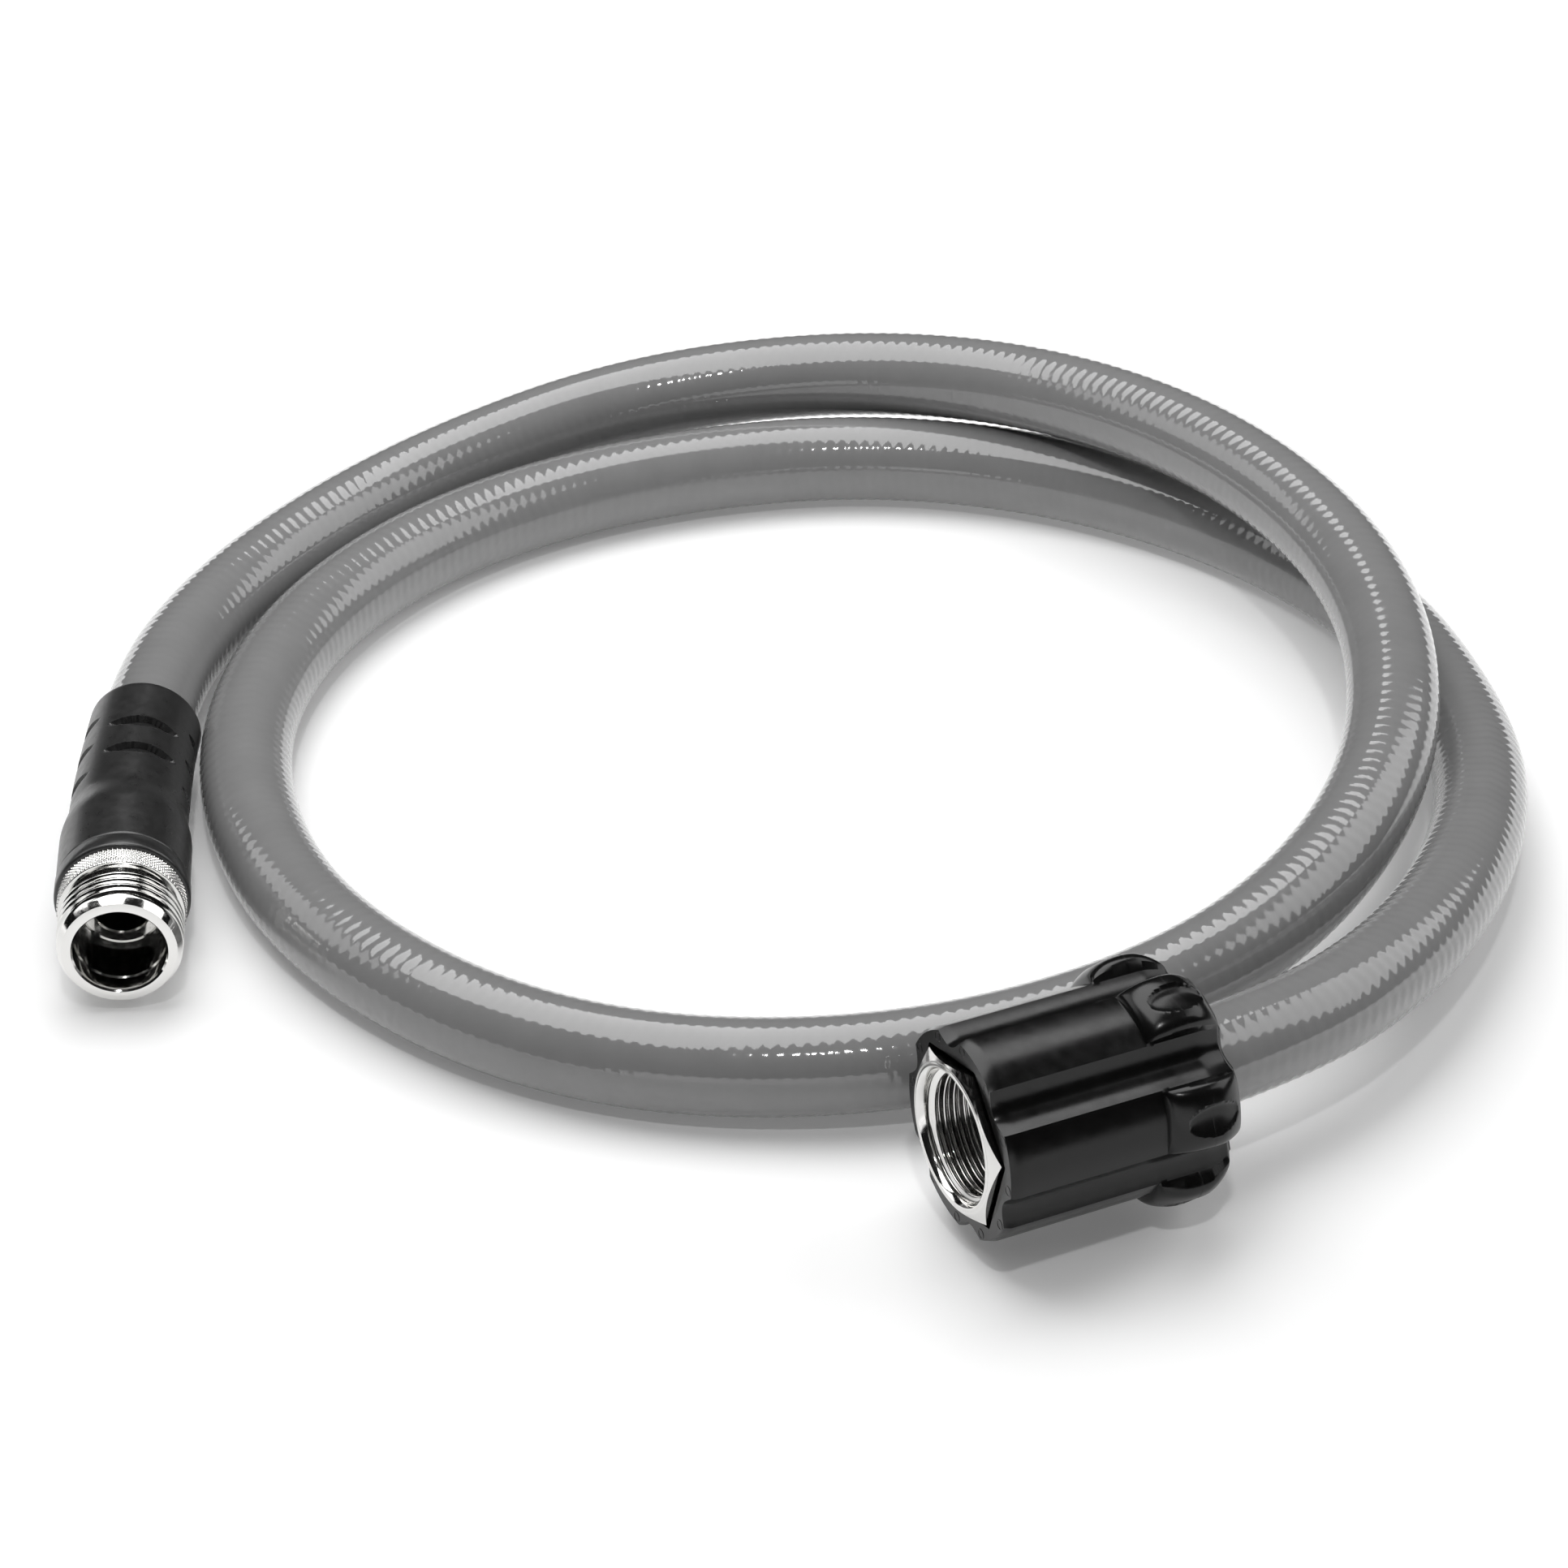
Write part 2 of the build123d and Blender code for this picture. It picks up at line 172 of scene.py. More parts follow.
def chrome_material():
    """Bright nickel plate with a little uneven polish."""
    material, tree, shader = new_material("nickel_plate", (0.74, 0.735, 0.72), 0.1, 1.0)
    smear = noise(tree, scale=900, detail=4)
    tree.links.new(ramp(tree, smear, 0.35, 0.7, 0.06, 0.16), shader.inputs["Roughness"])
    bump(tree, shader, noise(tree, scale=2500, detail=2), strength=0.05, distance=0.00005)
    return material


def rubber_material():
    """Moulded black rubber, satin, with a fine grain."""
    material, tree, shader = new_material("sleeve_rubber", (0.012, 0.012, 0.012), 0.42)
    shade(tree, shader, noise(tree, scale=300, detail=4), dark=0.014, light=0.022)
    shader.inputs["Specular IOR Level"].default_value = 0.7
    patches = noise(tree, scale=500, detail=5)
    tree.links.new(ramp(tree, patches, 0.3, 0.7, 0.27, 0.37), shader.inputs["Roughness"])
    bump(tree, shader, noise(tree, scale=4000, detail=3), strength=0.25, distance=0.00004)
    return material


def grip_material():
    """Moulded black plastic, half glossy, with a slight grain."""
    material, tree, shader = new_material("grip_plastic", (0.01, 0.01, 0.01), 0.3)
    shade(tree, shader, noise(tree, scale=200, detail=4), dark=0.003, light=0.006)
    shader.inputs["Specular IOR Level"].default_value = 0.36
    patches = noise(tree, scale=350, detail=5)
    tree.links.new(ramp(tree, patches, 0.3, 0.7, 0.18, 0.26), shader.inputs["Roughness"])
    bump(tree, shader, noise(tree, scale=3000, detail=3), strength=0.1, distance=0.00003)
    return material


def vinyl_material():
    """Glossy grey vinyl under a clear coat, with faint mottling."""
    material, tree, shader = new_material("cover_vinyl", (0.125, 0.125, 0.125), 0.1, coat=0.5)
    shade(tree, shader, noise(tree, scale=120, detail=5), dark=0.205, light=0.24)
    patches = noise(tree, scale=60, detail=4)
    tree.links.new(ramp(tree, patches, 0.35, 0.7, 0.07, 0.13), shader.inputs["Roughness"])
    bump(tree, shader, noise(tree, scale=700, detail=3), strength=0.05, distance=0.0001)
    return material


def plain_inner_material(name, grey, roughness, metallic=0.0):
    """A piece that is nearly always hidden: one tone, slightly mottled."""
    material, tree, shader = new_material(name, (grey, grey, grey), roughness, metallic)
    shade(tree, shader, noise(tree, scale=250, detail=3), dark=0.85 * grey, light=1.1 * grey)
    return material


GLOW_START = 0.2                    # metres from the origin
GLOW_END = 0.42
GLOW_INSIDE = 0.14
GLOW_OUTSIDE = 0.6


def floor_material():
    """White paper with painted light: an emitted glow, faint near the loop, where it lightens the
    shadows, and stronger further out, as an over-lit backdrop does.
    """
    material, tree, shader = new_material("floor", (0.9, 0.9, 0.9), 0.35)
    shader.inputs["Specular IOR Level"].default_value = 0.25
    shade(tree, shader, noise(tree, scale=4, detail=2), dark=0.88, light=0.9)
    # Painted light: emission that grows with distance from the origin, paling the shadows near the loop
    # and whitening the floor beyond it.
    shader.inputs["Emission Color"].default_value = (1, 1, 1, 1)
    place = tree.nodes.new("ShaderNodeTexCoord")
    distance = tree.nodes.new("ShaderNodeVectorMath")
    distance.operation = "LENGTH"
    tree.links.new(place.outputs["Object"], distance.inputs[0])
    glow = ramp(tree, distance.outputs["Value"], GLOW_START, GLOW_END, GLOW_INSIDE, GLOW_OUTSIDE)
    tree.links.new(glow, shader.inputs["Emission Strength"])
    return material


# --- Camera, lights and floor ------------------------------------------------------

def make_camera():
    """A long lens in front of the loop, 34 degrees above the floor, with no roll."""
    data = bpy.data.cameras.new("camera")
    data.lens = 106.1
    data.sensor_width = 36
    data.clip_end = 20
    camera = bpy.data.objects.new("camera", data)
    camera.location = (0.034, -0.7853, 0.5893)
    camera.rotation_euler = (radians(56), 0, 0)
    bpy.context.scene.collection.objects.link(camera)
    bpy.context.scene.camera = camera


def area_light(name, place, target, width, height, radiance):
    """A rectangular light whose power gives the same brightness at any size."""
    data = bpy.data.lights.new(name, "AREA")
    data.shape = "RECTANGLE"
    data.size = width
    data.size_y = height
    data.energy = radiance * pi * width * height
    lamp = bpy.data.objects.new(name, data)
    lamp.location = place
    lamp.rotation_euler = (Vector(target) - Vector(place)).to_track_quat("-Z", "Y").to_euler()
    bpy.context.scene.collection.objects.link(lamp)


HORIZON_GLOW = 0.04
CEILING_GLOW = 0.36


def make_studio():
    """Three softboxes, a front card and a small bright lamp, in a room brightest overhead."""
    area_light("softbox", (-0.15, 0.38, 1.0), (-0.05, 0.30, 0.0), 1.2, 0.85, 3.8)
    area_light("small_lamp", (0.06, -0.95, 2.0), (0.03, 0.05, 0.0), 0.12, 0.09, 200)
    area_light("front_card", (0.03, -2.2, 0.2), (0.03, 0, 0.1), 2.4, 0.4, 1.2)
    area_light("right_softbox", (1.15, 0.36, 0.9), (0.1, 0.05, 0.0), 1.2, 0.95, 2.1)
    area_light("left_softbox", (-1.15, 0.45, 0.8), (-0.05, 0.05, 0.0), 0.9, 0.6, 1.6)
    world = bpy.data.worlds.new("room")
    bpy.context.scene.world = world
    world.use_nodes = True
    tree = world.node_tree
    place = tree.nodes.new("ShaderNodeTexCoord")
    parts = tree.nodes.new("ShaderNodeSeparateXYZ")
    tree.links.new(place.outputs["Generated"], parts.inputs[0])
    glow = ramp(tree, parts.outputs["Z"], 0.0, 1.0, HORIZON_GLOW, CEILING_GLOW)
    tree.links.new(glow, tree.nodes["Background"].inputs["Strength"])
    bpy.context.scene.view_settings.view_transform = "Standard"


def make_floor():
    """A wide sheet just under the hose, which is stage and not part of the object."""
    mesh = bpy.data.meshes.new("floor")
    side = 4
    corners = [(-side, -side, 0), (side, -side, 0), (side, side, 0), (-side, side, 0)]
    mesh.from_pydata(corners, [], [(0, 1, 2, 3)])
    floor_piece = bpy.data.objects.new("floor", mesh)
    floor_piece.location.z = -0.00005
    bpy.context.scene.collection.objects.link(floor_piece)
    floor_piece.data.materials.append(floor_material())


# --- Mesh building -----------------------------------------------------------------

def skin(name, rings, material, closed=True, sharp=30, soft=()):
    """A mesh whose rings of points are joined in order, and last to first if closed.

    Edges turning more than sharp degrees stay crisp, save between the soft rings.
    """
    size = len(rings[0])
    points = [point for ring in rings for point in ring]
    count = len(rings)
    faces = []
    for row in range(count if closed else count - 1):
        low = row * size
        high = (row + 1) % count * size
        for column in range(size):
            side = (column + 1) % size
            faces.append((low + column, high + column, high + side, low + side))
    mesh = bpy.data.meshes.new(name)
    mesh.from_pydata(points, [], faces)
    solid = bmesh.new()
    solid.from_mesh(mesh)
    solid.verts.index_update()
    bmesh.ops.recalc_face_normals(solid, faces=solid.faces)
    for edge in solid.edges:
        gentle = edge.calc_face_angle(0) < radians(sharp)
        edge.smooth = gentle or all(vertex.index // size in soft for vertex in edge.verts)
    for face in solid.faces:
        face.smooth = True
    solid.to_mesh(mesh)
    solid.free()
    piece = bpy.data.objects.new(name, mesh)
    bpy.context.scene.collection.objects.link(piece)
    piece.data.materials.append(material)
    return piece


def lathe(name, place, outline, around, material, shape=None, start=0.0, sharp=30, soft=()):
    """A closed outline of (radius, depth) in millimetres, turned round a coupling's axis.

    shape takes each point's (radius, depth, angle) and gives its real (radius, depth). start
    is the first point's angle. sharp and soft are as in skin.
    """
    rings = []
    for radius, depth in outline:
        ring = []
        for step in range(around):
            angle = start + 2 * pi * step / around
            real, back = shape(radius, depth, angle) if shape else (radius, depth)
            local = Vector((real * cos(angle), real * sin(angle), -back)) * MM
            ring.append(place @ local)
        rings.append(ring)
    return skin(name, rings, material, sharp=sharp, soft=soft)


def stretch(start, end, step):
    """Even values from start to end, about step apart."""
    count = max(1, round(abs(end - start) / step))
    return [start + (end - start) * index / count for index in range(count + 1)]


def ease(value, low, high):
    """0 below low, 1 above high, and a smooth rise between."""
    part = min(1, max(0, (value - low) / (high - low)))
    return part * part * (3 - 2 * part)


def nearest_turn(angle, middle, count):
    """The angle in degrees from the nearest of count evenly spaced middles."""
    period = 360 / count
    return (degrees(angle) - middle + period / 2) % period - period / 2


def finish_piece(piece, body, slot, *nodes):
    """Puts a piece on its body, in place of its CAD nodes. The slot argument is not used."""
    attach(piece, body)
    if nodes:
        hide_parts(*nodes)
    return piece


# --- Threads -------------------------------------------------------------------------

THREAD_PITCH = 25.4 / 11.5
CREST_FLAT = 0.4
RIDGE_BASE = 1.9
THREAD_FADE = 1.2


def thread_ridge(depth, angle, first, last):
    """How high a right-handed helical ridge stands here, from 0 to 1, fading at both ends."""
    turn = depth / THREAD_PITCH + angle / (2 * pi)
    off_crest = abs((turn + 0.5) % 1 - 0.5) * THREAD_PITCH
    height = ease(RIDGE_BASE / 2 - off_crest, 0, RIDGE_BASE / 2 - CREST_FLAT / 2)
    fade = ease(depth, first, first + THREAD_FADE) * (1 - ease(depth, last - THREAD_FADE, last))
    return height * fade


# --- The male coupling -----------------------------------------------------------------

MALE_CREST = 13.45
MALE_ROOT = 12.2
MALE_THREAD_START = 3.3
MALE_THREAD_END = 12.6
KNURL_START = 14.3
KNURL_END = 19.4
KNURL_RADIUS = 13.85
KNURL_TEETH = 84
KNURL_DEPTH = 0.45
KNURL_STEEPNESS = 1.6
KNURL_BEVEL = 0.35
KNURL_BEVEL_FOOT = 0.5
KNURL_AROUND = 6 * KNURL_TEETH
STEM_RADIUS = 9.5
MOUTH_BORE = 9.8
WATERWAY = 6.3
BORE_DEPTH = 17.0
BORE_END = 8.8
TAIL_LENGTH = 23.0
BARB_ROOT = 7.4
BARB_CREST = 7.9
BARBS = 4
BARB_LEAD = 3.0
BARB_PITCH = 5.0
BARB_STEP = 0.05
BARB_FLAT = 1.0
BARB_SLOPE_END = 3.9
MALE_AROUND = 168
MALE_MOUTH_RIM = [
    (MOUTH_BORE, 1.2),
    (MOUTH_BORE + 0.1, 0.5),
    (MOUTH_BORE + 0.45, 0.08),
    (MOUTH_BORE + 0.9, 0),
    (11.9, 0),
    (12.25, 0.08),
    (13.1, 1.5),
    (13.3, 1.9),
    (13.3, 2.7),
    (13.15, 2.95),
    (MALE_ROOT, 3.25),
]
MALE_BORE = [
    (WATERWAY, BORE_DEPTH + 0.4),
    (WATERWAY + 0.3, BORE_DEPTH),
    (BORE_END - 0.3, BORE_DEPTH),
    (BORE_END, BORE_DEPTH - 0.3),
    (MOUTH_BORE - 0.3, 5),
    (MOUTH_BORE, 4.6),
]


def male_thread_shape(radius, depth, angle):
    """Raises the helical ridge from the points at the thread's root."""
    if radius > MALE_ROOT - TINY and MALE_THREAD_START <= depth <= MALE_THREAD_END:
        ridge = thread_ridge(depth, angle, MALE_THREAD_START, MALE_THREAD_END)
        return MALE_ROOT + (MALE_CREST - MALE_ROOT) * ridge, depth
    return radius, depth


def knurl_shape(radius, depth, angle):
    """Pyramids between two crossed rows of helical grooves."""
    if radius < KNURL_RADIUS - TINY:
        return radius, depth
    across = KNURL_TEETH * angle / (2 * pi)
    down = depth * KNURL_TEETH / (2 * pi * KNURL_RADIUS)
    rise = 1 - abs(2 * ((across + down) % 1) - 1)
    fall = 1 - abs(2 * ((across - down) % 1) - 1)
    return radius - KNURL_DEPTH * (1 - min(1, KNURL_STEEPNESS * min(rise, fall))), depth


def barb_outline(shoulder):
    """The barbs of a hose tail, from its shoulder to its free end."""
    outline = [(BARB_ROOT, shoulder)]
    for barb in range(BARBS):
        edge = shoulder + BARB_LEAD + BARB_PITCH * barb
        outline.append((BARB_ROOT, edge))
        outline.append((BARB_CREST, edge + BARB_STEP))
        outline.append((BARB_CREST, edge + BARB_FLAT))
        outline.append((BARB_ROOT, edge + BARB_SLOPE_END))
    outline.append((BARB_ROOT, shoulder + TAIL_LENGTH))
    outline.append((WATERWAY, shoulder + TAIL_LENGTH))
    return outline


def make_male_coupling(material):
    """The threaded body with its narrowing bore, and the knurled collar behind the thread."""
    shoulder = MALE_SHOULDER / MM
    thread = [(MALE_ROOT, depth) for depth in stretch(MALE_THREAD_START, MALE_THREAD_END, 0.1)]
    outline = MALE_MOUTH_RIM + thread
    outline += [(MALE_ROOT, KNURL_START), (STEM_RADIUS, KNURL_START), (STEM_RADIUS, shoulder)]
    outline += barb_outline(shoulder) + MALE_BORE
    first = len(MALE_MOUTH_RIM) - 1
    rows = range(first, first + 1 + len(thread))
    body = lathe("male_coupling", MALE, outline, MALE_AROUND, material, male_thread_shape, soft=rows)
    finish_piece(body, "hose", "plated_metal", "male_coupling")
    make_knurled_collar(material)


def make_knurled_collar(material):
    """The collar behind the thread, with bevelled ends."""
    foot = KNURL_RADIUS - KNURL_BEVEL_FOOT
    top = KNURL_RADIUS - KNURL_BEVEL
    outline = [(STEM_RADIUS, KNURL_START), (foot, KNURL_START), (top, KNURL_START + 0.1)]
    outline += [(KNURL_RADIUS, depth) for depth in stretch(KNURL_START + 0.45, KNURL_END - 0.35, 0.125)]
    outline += [(top, KNURL_END - 0.1), (foot, KNURL_END), (STEM_RADIUS, KNURL_END)]
    collar = lathe("knurled_collar", MALE, outline, KNURL_AROUND, material, knurl_shape, sharp=70)
    finish_piece(collar, "hose", "plated_metal")


# --- The male sleeve -------------------------------------------------------------------

RING_RADIUS = 14.6
RING_END = 24.0
COLLAR_RADIUS = 14.4
NECK_RADIUS = 13.1
TAIL_RADIUS = 12.65
SLEEVE_END = 89.5
RECESS_HALF_ANGLE = 38.0
RECESS_BOW = 1.9
RECESS_LENGTH = 4.0
RECESS_DEPTH = 1.7
RECESS_TURN = -13.0
RECESS_OVERHANG = 0.4
RECESS_REACH = 4.0                  # no crescent lies further than this from its front
TOP_RECESSES = (61.2, 72.6)
SIDE_RECESSES = (55.5, 66.9, 78.3)
CONE_START = 39.5
CONE_END = 50.5
TAPER_START = 52.0
TAPER_END = 84.0
SLEEVE_BORE = 10.5
POCKET_RADIUS = 11.3
POCKET_END = 48.0
SLEEVE_AROUND = 216
SLEEVE_RING = [
    (STEM_RADIUS, KNURL_END),
    (KNURL_RADIUS + 0.1, KNURL_END),
    (14.2, 19.5),
    (14.5, 19.8),
    (RING_RADIUS, 20.2),
    (RING_RADIUS, RING_END - 0.25),
    (RING_RADIUS - 0.2, RING_END),
    (STEM_RADIUS, RING_END),
]


def sleeve_radius(depth):
    """Collar, cone and slowly narrowing tail."""
    cone = COLLAR_RADIUS - (COLLAR_RADIUS - NECK_RADIUS) * ease(depth, CONE_START, CONE_END)
    return cone - (NECK_RADIUS - TAIL_RADIUS) * ease(depth, TAPER_START, TAPER_END)


def crescent(depth, angle, front, middle):
    """The depth of one crescent: nothing at its front edge, deepest at its sharp rear edge."""
    across = nearest_turn(angle, middle, 1) / RECESS_HALF_ANGLE
    if abs(across) >= 1:
        return 0
    open_part = 1 - across * across
    rear = front + RECESS_BOW * open_part + RECESS_OVERHANG
    from_rear = (rear - depth) / (RECESS_LENGTH * open_part ** 0.7 + TINY)
    if not 0 <= from_rear <= 1:
        return 0
    return RECESS_DEPTH * (1 - from_rear) ** 0.8 * min(1, 2.5 * open_part)


def recesses(depth, angle):
    """How deep the sleeve is cut here by its four columns of crescents."""
    deepest = 0
    for column in range(4):
        for front in TOP_RECESSES if column % 2 else SIDE_RECESSES:
            if abs(depth - front) < RECESS_REACH:
                deepest = max(deepest, crescent(depth, angle, front, 90 * column + RECESS_TURN))
    return deepest


def sleeve_place(depth, frames):
    """Point, right and up on the sleeve's axis: straight, then along the hose inside it."""
    along = depth * MM - MALE_SHOULDER
    if along <= 0:
        point = behind(MALE, depth * MM)
        return point, frames[0][2], frames[0][3]
    index = min(range(len(frames)), key=lambda number: abs(frames[number][1] - along))
    point, travelled, side, up = frames[index]
    after = frames[index + 1][0] - point
    return point + after.normalized() * (along - travelled), side, up


def sleeve_outline():
    """(radius, depth) pairs down the sleeve's outside and back up its inside."""
    end = SLEEVE_END
    depths = stretch(25, 53, 0.7) + stretch(53.2, 82, 0.2) + stretch(82.7, end - 0.5, 0.7)
    outline = [(COLLAR_RADIUS - 0.25, RING_END + 0.05), (COLLAR_RADIUS, RING_END + 0.3)]
    outline += [(sleeve_radius(depth), depth) for depth in depths]
    outline += [(TAIL_RADIUS - 0.15, end - 0.12), (TAIL_RADIUS - 0.5, end), (SLEEVE_BORE + 0.25, end)]
    outline += [(SLEEVE_BORE, end - 0.3)]
    outline += [(SLEEVE_BORE, depth) for depth in stretch(end - 4, POCKET_END, 4)]
    return outline + [(POCKET_RADIUS, POCKET_END - 0.1), (POCKET_RADIUS, RING_END + 0.05)]


def make_sleeve(frames, material):
    """The sleeve, bent like the hose inside it, and the band in front of it."""
    rings = []
    for radius, depth in sleeve_outline():
        point, side, up = sleeve_place(depth, frames)
        outside = radius > POCKET_RADIUS + TINY
        ring = []
        for step in range(SLEEVE_AROUND):
            angle = 2 * pi * step / SLEEVE_AROUND
            cut = recesses(depth, angle) if outside else 0
            ring.append(point + (side * cos(angle) + up * sin(angle)) * (radius - cut) * MM)
        rings.append(ring)
    finish_piece(skin("sleeve", rings, material, sharp=50), "hose", "sleeve_rubber", "male_sleeve")
    ring = lathe("sleeve_ring", MALE, SLEEVE_RING, 144, material, sharp=50)
    finish_piece(ring, "hose", "sleeve_rubber", "male_sleeve_ring")


# --- The swivel nut ----------------------------------------------------------------------

NUT_APOTHEM = 15.875
NUT_CORNER = 15.3
NUT_HEX_END = 16.0
NUT_END = 20.0
FEMALE_CREST = 12.4
FEMALE_ROOT = 13.6
FEMALE_THREAD_START = 1.5
FEMALE_THREAD_END = 10.9
CHAMFER_START = 15.55
CHAMFER_DEPTH = 0.15
CHAMFER_SLOPE = 0.55
NUT_COLLAR_RADIUS = 15.6
NUT_HOLE = 9.58
SEAT_RADIUS = 12.8
FLANGE_START = 17.0
NUT_AROUND = 180
HEXAGON = 100                       # outline radii from here on are parts of the way to the hexagon
NUT_RIM = [(13.7, 1.1), (14.0, 0.45), (14.3, 0.1), (14.65, 0), (14.95, 0.08), (15.15, 0.2)]


def hex_radius(apothem, angle):
    """The distance from the axis to a hexagon's side, in this direction."""
    return apothem / cos(radians(nearest_turn(angle, NUT_CORNER + 30, 6)))


def nut_shape(radius, depth, angle):
    """HEXAGON stands for the chamfer's start and HEXAGON + 1 for the hexagon's side."""
    if radius >= HEXAGON:
        edge = hex_radius(NUT_APOTHEM, angle)
        real = CHAMFER_START + (edge - CHAMFER_START) * (radius - HEXAGON)
        return real, max(depth, CHAMFER_DEPTH + (real - CHAMFER_START) * CHAMFER_SLOPE)
    if radius == FEMALE_ROOT:
        ridge = thread_ridge(depth, angle, FEMALE_THREAD_START, FEMALE_THREAD_END)
        return FEMALE_ROOT - (FEMALE_ROOT - FEMALE_CREST) * ridge, depth
    return radius, depth


def make_nut(material):
    """A chamfered hexagonal nut with a raised round lip and a helical inner thread."""
    side = HEXAGON + 1
    outline = NUT_RIM + [(HEXAGON + part / 6, CHAMFER_DEPTH) for part in range(7)]
    outline += [(side, 2), (side, NUT_HEX_END), (NUT_COLLAR_RADIUS, NUT_HEX_END)]
    outline += [(NUT_COLLAR_RADIUS, NUT_END), (NUT_HOLE, NUT_END), (NUT_HOLE, FLANGE_START)]
    outline += [(SEAT_RADIUS, FLANGE_START), (SEAT_RADIUS, FEMALE_THREAD_END + 0.4)]
    outline += [(FEMALE_ROOT, depth) for depth in stretch(FEMALE_THREAD_END, FEMALE_THREAD_START, 0.1)]
    soft = {row for row, point in enumerate(outline) if point[0] == FEMALE_ROOT}
    start = radians(NUT_CORNER)
    nut = lathe("swivel_nut", FEMALE, outline, NUT_AROUND, material, nut_shape, start=start, soft=soft)
    finish_piece(nut, "swivel", "plated_metal", "swivel_nut")


# --- The hand grip -------------------------------------------------------------------------

GRIP_START = 2.0
GRIP_END = 54.0
PANEL_RADIUS = 21.8
PANEL_MIDDLE = 16.5
PANEL_HALF = 18.0
FLUTE_HALF = 12.0
FLUTE_FLOOR = 19.3
LOBE_HEIGHT = 3.8
LOBE_MIDDLE = 45.0
LOBE_HALF = 8.4
SCOOP_DEPTH = 1.5
SCOOP_SHIFT = 0.6                   # towards the grip's rear
SCOOP_LEAN = 0.05
SCOOP_HALF_LENGTH = 5.9
SCOOP_HALF_WIDTH = 0.42             # as a part of the panel's half width
MOULD_LINE = 0.3                    # behind the lobes' middle
MOULD_LINE_HALF = 0.11
MOULD_LINE_HEIGHT = 0.05
REAR_START = 47.0
REAR_NARROWING = 1.3
FACE_ROUND = 0.5
FACE_ROUND_LENGTH = 0.9
REAR_ROUND = 1.4
REAR_ROUND_START = 52.6
POCKET_GAP = 0.8
POCKET_GAP_END = 5.0
CAVITY_RADIUS = 13.0
REAR_LIP_RADIUS = 11.6
REAR_LIP_START = 49.0
GRIP_AROUND = 360
NUT_SEAT = 15.65
NUT_SEAT_GAP = 0.02
MOULD_LINE_ROWS = [45.15, 45.2, 45.3, 45.4, 45.45]

# Coded radii in the grip's outline. POCKET + gap lies that far off the nut's hexagon. FACE +
# part lies that part of the way from the pocket to the outside, so OUTSIDE is FACE + 1.
POCKET = 50
FACE = 100
OUTSIDE = 101


def lobe(depth, panel):
    """The swelling at a panel's end; panel runs from -1 to 1 across the panel."""
    along = (depth - LOBE_MIDDLE) / LOBE_HALF
    if abs(along) >= 1 or abs(panel) >= 1:
        return 0
    return LOBE_HEIGHT * sqrt(1 - along * along) * sqrt(1 - panel ** 6)


def scoop(depth, panel):
    """The lens-shaped thumb hollow in a lobe, deepest along one side."""
    along = (depth - LOBE_MIDDLE - SCOOP_SHIFT) / SCOOP_HALF_LENGTH
    across = (panel + SCOOP_LEAN) / SCOOP_HALF_WIDTH
    lens = 1 - along ** 2 - across ** 2
    if lens <= 0:
        return 0
    return SCOOP_DEPTH * sqrt(lens) * (0.75 + 0.6 * panel)


def grip_outside(depth, angle):
    """The radius of the grip's outside: panels with their lobes, and flutes between them."""
    off = nearest_turn(angle, PANEL_MIDDLE, 6)
    panel = off / PANEL_HALF
    radius = PANEL_RADIUS - REAR_NARROWING * ease(depth, REAR_START, GRIP_END + 1)
    if abs(panel) < 1:
        swelling = lobe(depth, panel)
        radius += swelling - scoop(depth, panel)
        if swelling > 1 and abs(depth - LOBE_MIDDLE - MOULD_LINE) < MOULD_LINE_HALF:
            radius += MOULD_LINE_HEIGHT
    else:
        flute = (30 - abs(off)) / FLUTE_HALF
        radius -= (PANEL_RADIUS - FLUTE_FLOOR) * (1 - flute * flute)
    rounding = FACE_ROUND * (1 - ease(depth, GRIP_START, GRIP_START + FACE_ROUND_LENGTH))
    rounding += REAR_ROUND * ease(depth, REAR_ROUND_START, GRIP_END)
    return radius - rounding


def grip_shape(radius, depth, angle):
    """Turns the outline's coded radii into the pocket's, the face's and the outside's."""
    if radius < POCKET:
        return radius, depth
    if radius < FACE:
        return hex_radius(NUT_APOTHEM + radius - POCKET, angle), depth
    outside = grip_outside(depth, angle)
    if radius < OUTSIDE:
        inner = hex_radius(NUT_APOTHEM + POCKET_GAP, angle)
        return inner + (outside - inner) * (radius - FACE), depth
    return outside, depth


def make_grip(material):
    """The hand grip, with its hexagonal pocket for the nut and its cavity for the hose's end."""
    depths = stretch(GRIP_START, 35, 1.5) + stretch(35.5, 44.6, 0.35)
    depths += MOULD_LINE_ROWS
    depths += stretch(45.7, REAR_ROUND_START, 0.35) + stretch(52.8, GRIP_END, 0.2)
    outline = [(POCKET + POCKET_GAP, GRIP_START)]
    outline += [(FACE + part, GRIP_START) for part in (0.4, 0.7, 0.9)]
    outline += [(OUTSIDE, depth) for depth in depths]
    outline += [(16, GRIP_END), (REAR_LIP_RADIUS + 0.3, GRIP_END), (REAR_LIP_RADIUS, GRIP_END - 0.3)]
    outline += [(REAR_LIP_RADIUS, REAR_LIP_START), (CAVITY_RADIUS, REAR_LIP_START)]
    outline += [(CAVITY_RADIUS, NUT_END), (NUT_SEAT, NUT_END), (NUT_SEAT, NUT_HEX_END)]
    outline += [(POCKET + NUT_SEAT_GAP, NUT_HEX_END), (POCKET + NUT_SEAT_GAP, POCKET_GAP_END)]
    outline += [(POCKET + POCKET_GAP, POCKET_GAP_END)]
    start = radians(0.5)
    grip = lathe("hand_grip", FEMALE, outline, GRIP_AROUND, material, grip_shape, start=start, sharp=24)
    finish_piece(grip, "swivel", "grip_plastic", "swivel_grip")
    make_grip_marks(material)


MARKS = 12
MARKS_TURN = 1.5                    # degrees
MARK_CIRCLE = 20
MARK_AROUND = 28
MARK_SECTION = [(0.85, -0.05), (0.9, 0.08), (1.1, 0.08), (1.16, -0.05)]


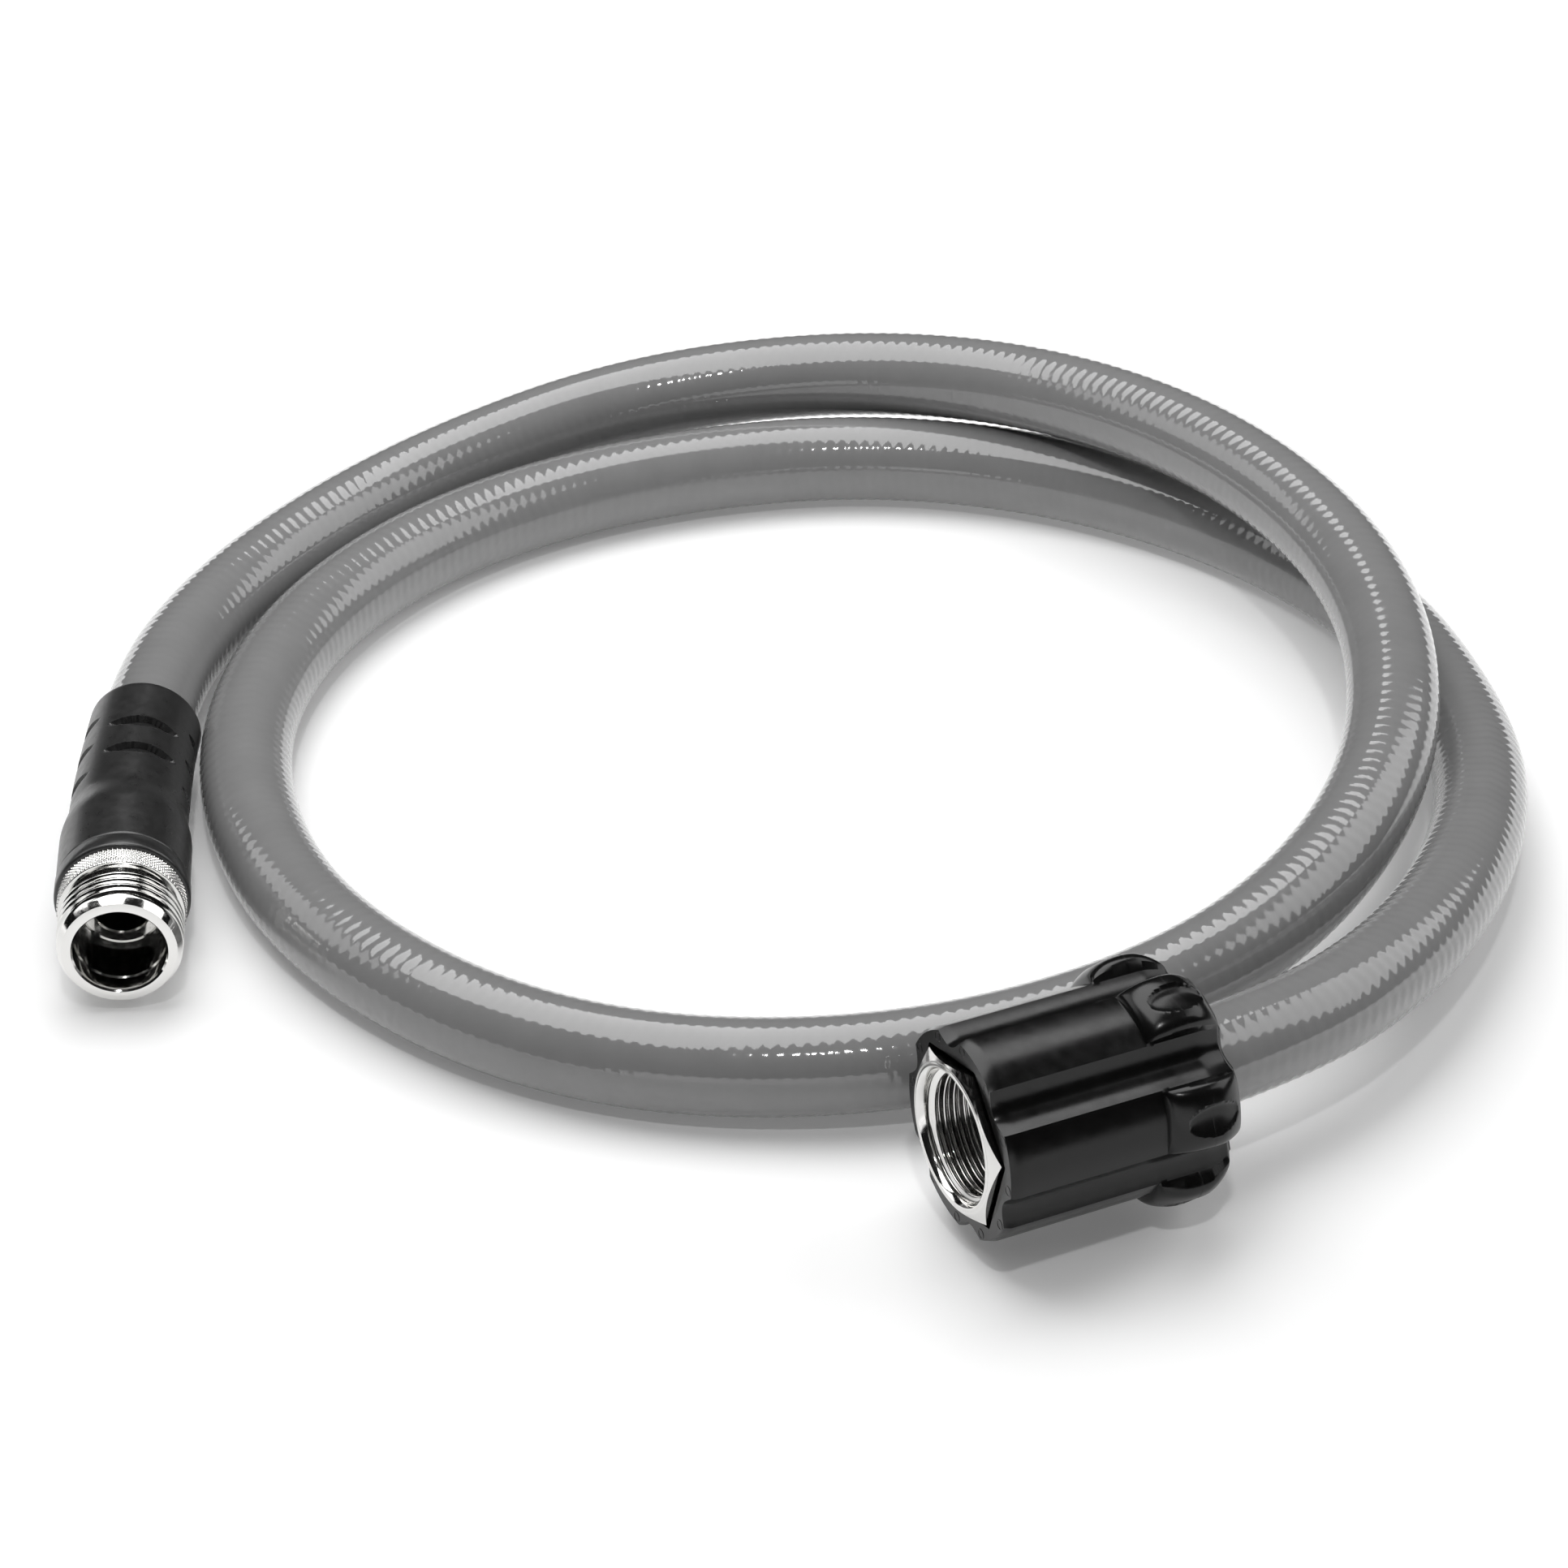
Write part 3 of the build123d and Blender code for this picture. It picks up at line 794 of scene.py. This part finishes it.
def make_grip_marks(material):
    """Small moulded circles on the grip's front face, evenly spaced."""
    for mark in range(MARKS):
        angle = radians(MARKS_TURN + 360 / MARKS * mark)
        centre = Vector((MARK_CIRCLE * cos(angle), MARK_CIRCLE * sin(angle), -GRIP_START)) * MM
        rings = []
        for size, height in MARK_SECTION:
            ring = []
            for step in range(MARK_AROUND):
                turn = 2 * pi * step / MARK_AROUND
                ring.append(FEMALE @ (centre + Vector((size * cos(turn), size * sin(turn), height)) * MM))
            rings.append(ring)
        piece = skin("grip_mark_%02d" % (mark + 1), rings, material)
        finish_piece(piece, "swivel", "grip_plastic")


# --- The hose ----------------------------------------------------------------------

RIB_PITCH = 0.003
RIB_HEIGHT = 0.00006
RIB_ZIGZAG = 1.3
RIBS_AROUND = 11
AROUND_HOSE = 44
BORE_RINGS = 20


def route_line():
    """The route's smooth line: a NURBS curve with the route's points as control points."""
    data = bpy.data.curves.new("route", "CURVE")
    data.dimensions = "3D"
    data.resolution_u = 88
    spline = data.splines.new("NURBS")
    spline.points.add(len(ROUTE) - 1)
    for point, place in zip(spline.points, ROUTE):
        point.co = (*place, 1)
    spline.order_u = 3
    spline.use_endpoint_u = True
    holder = bpy.data.objects.new("route", data)
    bpy.context.scene.collection.objects.link(holder)
    bpy.context.view_layer.update()
    line = bpy.data.meshes.new_from_object(holder)
    points = [vertex.co.copy() for vertex in line.vertices]
    bpy.data.objects.remove(holder)
    return points


def hose_frames(points):
    """For each point: how far along it is, and two axes square to the line, with no twist."""
    frames = []
    side = Vector((0, 0, 1)).cross(points[0] - points[1]).normalized()
    travelled = 0
    for index, point in enumerate(points):
        before = points[max(index - 1, 0)]
        after = points[min(index + 1, len(points) - 1)]
        along = (after - before).normalized()
        side = (side - along * side.dot(along)).normalized()
        travelled += (point - before).length
        frames.append((point, travelled, side, side.cross(along)))
    return frames


def rib(travelled, angle):
    """The knitted yarn's relief: zigzag rings, none of them above the cover's radius."""
    row = 2 * pi * travelled / RIB_PITCH + RIB_ZIGZAG * cos(RIBS_AROUND * angle)
    return RIB_HEIGHT * (cos(row) - 1)


def hose_ring(place, radius, relief):
    """One ring of the hose's skin, with or without the relief."""
    point, travelled, side, up = place
    ring = []
    for step in range(AROUND_HOSE):
        angle = 2 * pi * step / AROUND_HOSE
        real = radius + (rib(travelled, angle) if relief else 0)
        ring.append(point + (side * cos(angle) + up * sin(angle)) * real)
    return ring


def make_hose(frames, material):
    """The cover's whole skin, turned in at both ends and down the first stretch of the bore."""
    rings = [hose_ring(place, HOSE_BORE, False) for place in frames[BORE_RINGS::-1]]
    rings += [hose_ring(place, HOSE_RADIUS, True) for place in frames]
    rings += [hose_ring(place, HOSE_BORE, False) for place in frames[:-BORE_RINGS:-1]]
    hose = skin("hose", rings, material, closed=False)
    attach(hose, "hose")
    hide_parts("hose_cover", "hose_braid", "hose_liner")
    return hose


def paint(node, material):
    """Gives a CAD node that stays as it is its material."""
    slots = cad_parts[node].data.materials
    slots.clear()
    slots.append(material)


make_camera()
make_studio()
make_floor()
line = route_line()
frames = hose_frames(line)
make_hose(frames, vinyl_material())
metal = chrome_material()
rubber = rubber_material()
plastic = grip_material()
make_male_coupling(metal)
make_sleeve(frames, rubber)
make_nut(metal)
make_grip(plastic)
paint("inlet_tailpiece", metal)
paint("inlet_washer", rubber)
paint("male_ferrule", plain_inner_material("ferrule_metal", 0.5, 0.35, 1.0))
paint("female_ferrule", plain_inner_material("ferrule_metal_2", 0.5, 0.35, 1.0))
